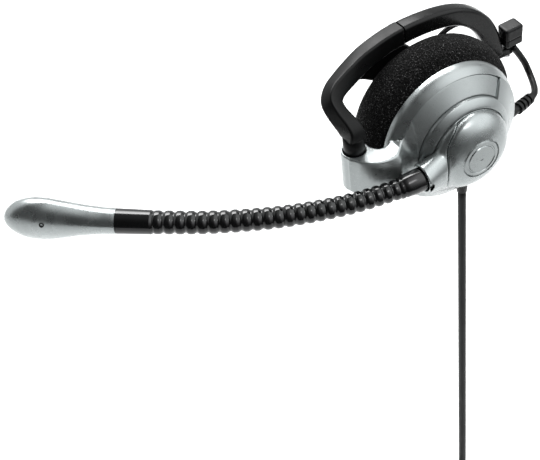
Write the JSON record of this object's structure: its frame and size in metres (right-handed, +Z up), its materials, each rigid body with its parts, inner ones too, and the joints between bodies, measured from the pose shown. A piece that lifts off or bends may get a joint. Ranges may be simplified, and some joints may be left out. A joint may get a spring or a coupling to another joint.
{
  "type": "ear-hook headset",
  "caption": "Single-ear headset with foam cushion, hinged ear hook, turning turret with ribbed gooseneck microphone boom, and a hanging cord ending in a coil and a phone plug.",
  "frame": {"origin": "centre of the foam cushion's ear-side face, on the cup's axis", "axes": "+Z up, +Y into the wearer's ear, -Y outward through the turret, -X forward towards the mouth along the boom, +X to the rear"},
  "size_m": [0.1973, 0.0768, 0.3657],
  "materials": {
    "shell": "satin metallic silver-grey paint over moulded plastic",
    "turret": "satin metallic silver-grey paint over moulded plastic",
    "badge": "spun satin disc, plain",
    "foam": "matte black open-cell foam",
    "black_plastic": "satin black",
    "gloss_black": "glossy black",
    "black_rubber": "semi-gloss black rubber",
    "cord_jacket": "matte black cord jacket",
    "steel": "bright steel",
    "contact_metal": "polished nickel plate",
    "plug_plastic": "dark insulating rings",
    "card": "green fibreglass board with solder mask",
    "cloth": "thin black acoustic cloth",
    "cone": "thin translucent film cone",
    "brass_part": "plain turned brass",
    "washer": "natural low-friction plastic"
  },
  "bodies": {
    "housing": {"cup_shell": "shell", "hinge_arm": "shell", "hinge_bush": "brass_part", "hinge_end_cap": "black_plastic", "baffle_plate": "black_plastic", "speaker_frame": "steel", "speaker_magnet": "steel", "speaker_cone": "cone", "speaker_cloth": "cloth", "baffle_screws": "steel", "circuit_board": "card", "board_parts": "contact_metal", "pad_ring": "black_plastic", "ear_pad": "foam", "friction_washer": "washer", "link_boot": "black_rubber", "link_cord": "cord_jacket", "cord_gland": "black_rubber", "main_cord": "cord_jacket", "cord_coil": "cord_jacket", "cord_tail": "cord_jacket", "cord_tie": "black_plastic", "plug_boot": "black_rubber", "plug_shell": "gloss_black", "plug_contacts": "contact_metal", "plug_insulators": "plug_plastic"},
    "turret": {"turret_base": "turret", "turret_dome": "turret", "badge_disc": "badge", "turret_spindle": "steel", "turret_nut": "brass_part", "spring_washer": "steel", "boom_ferrule": "gloss_black", "boom_sheath_1": "gloss_black", "boom_core_1": "steel"},
    "bend_1": {"boom_sheath_2": "gloss_black", "boom_core_2": "steel"},
    "bend_2": {"boom_sheath_3": "gloss_black", "boom_core_3": "steel"},
    "bend_3": {"boom_sheath_4": "gloss_black", "boom_core_4": "steel"},
    "bend_4": {"boom_sheath_5": "gloss_black", "boom_core_5": "steel", "mic_sleeve": "gloss_black", "mic_shell": "turret", "mic_port_ring": "gloss_black", "mic_holder": "black_rubber", "mic_element": "contact_metal"},
    "hook": {"hook_front": "black_plastic", "hook_rear": "black_plastic", "hinge_pin": "steel", "tail_block": "black_plastic", "tail_screw": "steel"}
  },
  "joints": [
    {"name": "boom_pivot", "type": "hinge", "parent": "housing", "child": "turret", "pos_m": [0, -0.032, 0], "axis": [0, 1, 0], "range_deg": [-45, 45]},
    {"name": "goose_bend_1", "type": "hinge", "parent": "turret", "child": "bend_1", "pos_m": [-0.04694, -0.03015, 0], "axis": [0, 0, 1], "range_deg": [-15, 15]},
    {"name": "goose_bend_2", "type": "hinge", "parent": "bend_1", "child": "bend_2", "pos_m": [-0.06298, -0.02418, 0], "axis": [0.3914, 0.9202, 0], "range_deg": [-15, 15]},
    {"name": "goose_bend_3", "type": "hinge", "parent": "bend_2", "child": "bend_3", "pos_m": [-0.07572, -0.01791, 0], "axis": [0, 0, 1], "range_deg": [-15, 15]},
    {"name": "goose_bend_4", "type": "hinge", "parent": "bend_3", "child": "bend_4", "pos_m": [-0.09134, -0.00825, 0], "axis": [0.5644, 0.8255, 0], "range_deg": [-15, 15]},
    {"name": "hook_hinge", "type": "hinge", "parent": "housing", "child": "hook", "pos_m": [-0.0373, -0.0169, 0], "axis": [0, 0, 1], "range_deg": [0, 7]}
  ],
  "couplings": [
    {"joint": "goose_bend_3", "follows": "goose_bend_1", "ratio": 1},
    {"joint": "goose_bend_4", "follows": "goose_bend_2", "ratio": 1}
  ]
}
